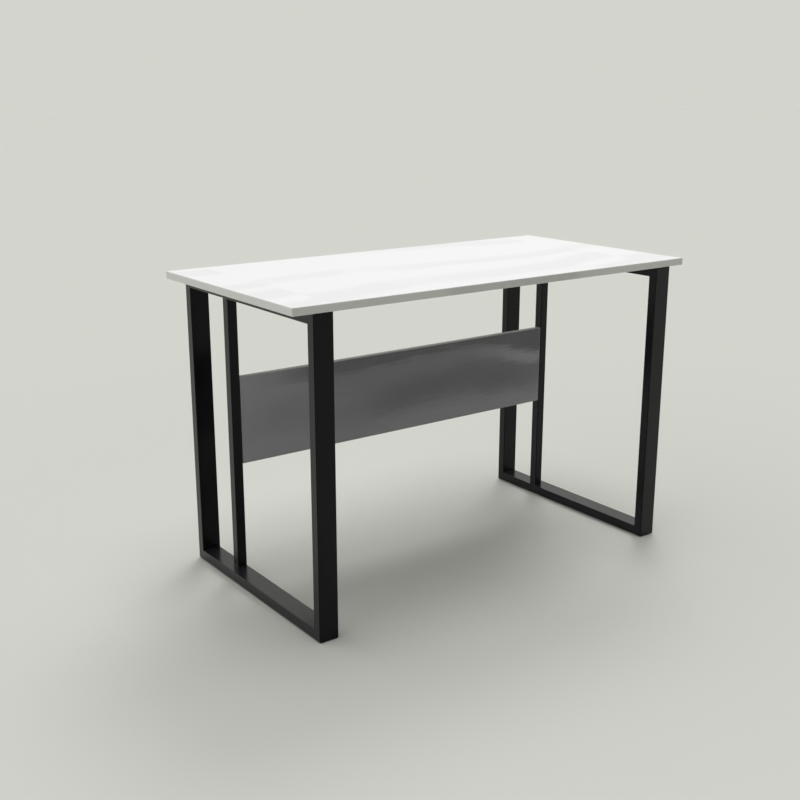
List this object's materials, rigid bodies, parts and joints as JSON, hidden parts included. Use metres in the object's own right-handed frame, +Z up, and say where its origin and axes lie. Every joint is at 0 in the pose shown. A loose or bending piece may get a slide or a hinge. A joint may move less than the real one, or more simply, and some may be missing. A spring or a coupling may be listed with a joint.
{
  "type": "desk with loop legs and modesty panel",
  "caption": "White desk on two closed loops of black rectangular tube, with a grey modesty panel between slim middle posts.",
  "frame": {"origin": "on the floor, under the middle of the desktop", "axes": "+X along the desktop, -Y towards the sitter, +Y towards the modesty panel and the rear edge, +Z up"},
  "size_m": [1.2, 0.6, 0.77],
  "materials": {
    "white_laminate": "white melamine-faced board, satin",
    "white_edge_band": "white edge band, satin",
    "black_powder_coat": "black powder coat, fine texture, satin",
    "graphite_laminate": "graphite grey laminated board, satin",
    "graphite_edge_band": "graphite grey edge band, satin",
    "zinc_plated_steel": "zinc-plated steel",
    "black_plastic": "black moulded plastic"
  },
  "bodies": {
    "root": {"desktop_board": "white_laminate", "desktop_front_band": "white_edge_band", "desktop_rear_band": "white_edge_band", "desktop_left_band": "white_edge_band", "desktop_right_band": "white_edge_band", "left_front_upright": "black_powder_coat", "left_rear_upright": "black_powder_coat", "left_top_rail": "black_powder_coat", "left_bottom_rail": "black_powder_coat", "left_middle_post": "black_powder_coat", "left_upper_tab": "black_powder_coat", "left_lower_tab": "black_powder_coat", "right_front_upright": "black_powder_coat", "right_rear_upright": "black_powder_coat", "right_top_rail": "black_powder_coat", "right_bottom_rail": "black_powder_coat", "right_middle_post": "black_powder_coat", "right_upper_tab": "black_powder_coat", "right_lower_tab": "black_powder_coat", "panel_board": "graphite_laminate", "panel_top_band": "graphite_edge_band", "panel_bottom_band": "graphite_edge_band", "panel_left_band": "graphite_edge_band", "panel_right_band": "graphite_edge_band", "panel_screws": "zinc_plated_steel", "desktop_screws": "zinc_plated_steel", "desktop_washers": "zinc_plated_steel", "desktop_inserts": "zinc_plated_steel", "access_caps": "black_plastic", "left_front_glide": "black_plastic", "left_rear_glide": "black_plastic", "right_front_glide": "black_plastic", "right_rear_glide": "black_plastic"}
  },
  "joints": []
}
